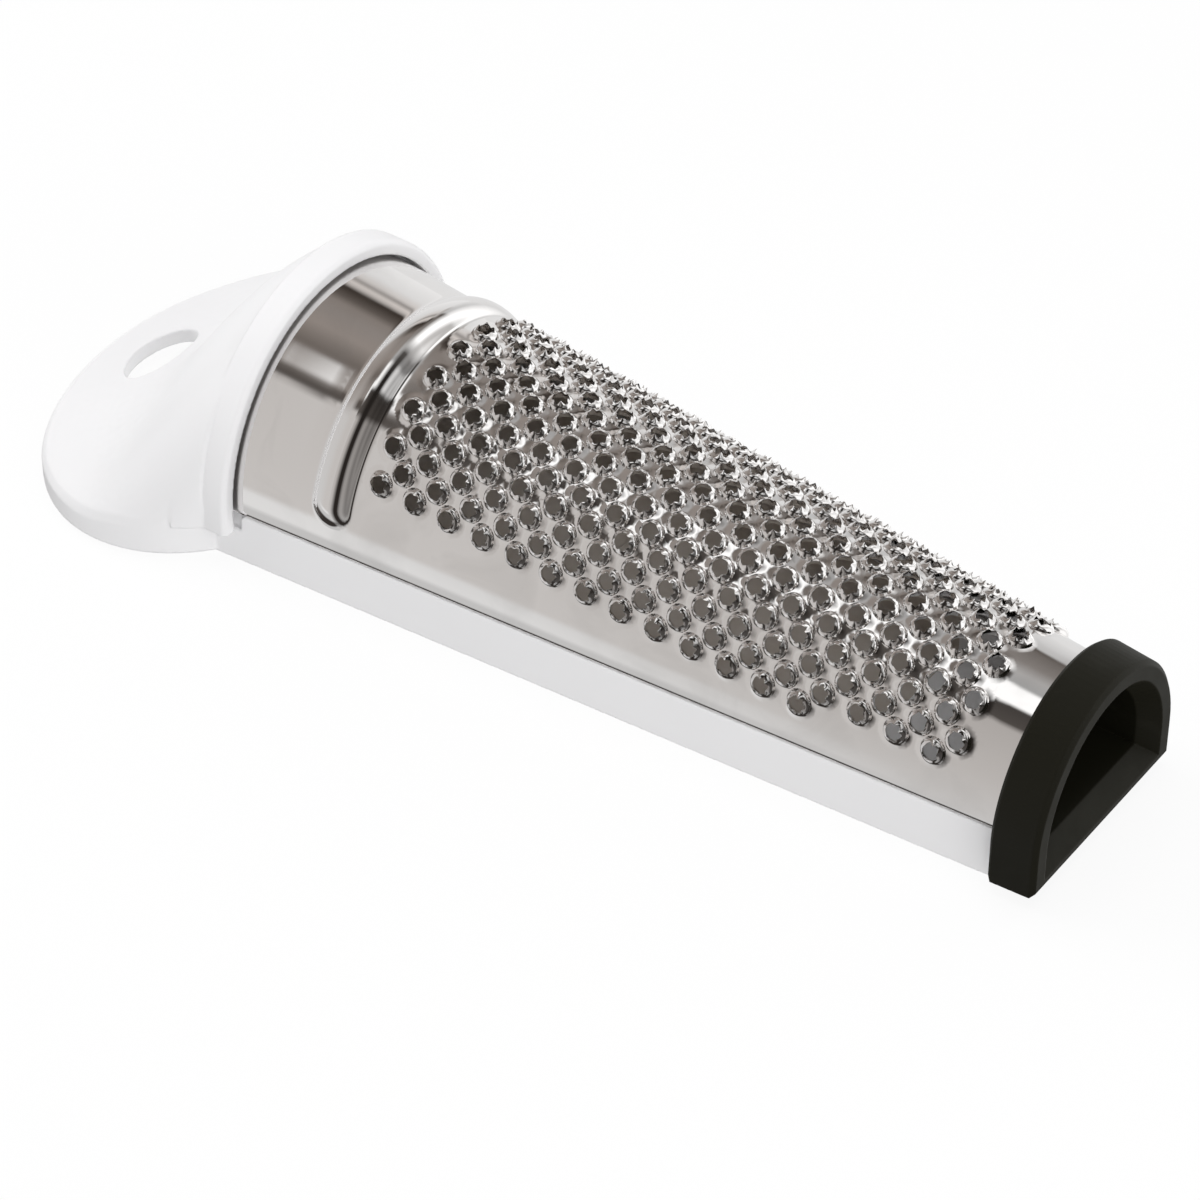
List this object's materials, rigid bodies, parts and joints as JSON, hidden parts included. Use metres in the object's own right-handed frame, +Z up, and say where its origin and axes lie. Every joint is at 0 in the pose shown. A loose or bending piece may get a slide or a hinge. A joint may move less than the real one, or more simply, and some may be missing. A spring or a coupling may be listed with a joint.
{
  "type": "hand nutmeg grater",
  "caption": "Hand-held half-round nutmeg grater with a white paddle handle, punched steel sheet, sliding store door underneath and a black rubber cap",
  "frame": {"origin": "Middle of the grater's length and width, on the table it rests on", "axes": "+X along the grater from the paddle handle to the rubber cap, +Y across it, +Z up from the table"},
  "size_m": [0.143, 0.0556, 0.0311],
  "materials": {
    "white_plastic": "satin moulded",
    "stainless_steel": "bright rolled sheet",
    "black_rubber": "matt moulded"
  },
  "bodies": {
    "grater": {"handle_frame": "white_plastic", "grater_sheet": "stainless_steel"},
    "door": {"store_door": "white_plastic"},
    "cap": {"end_cap": "black_rubber"}
  },
  "joints": [
    {"name": "door_slide", "type": "slide", "parent": "grater", "child": "door", "axis": [1, 0, 0], "range_m": [0, 0.036]},
    {"name": "cap_off", "type": "slide", "parent": "grater", "child": "cap", "axis": [1, 0, 0], "range_m": [0, 0.016]}
  ]
}
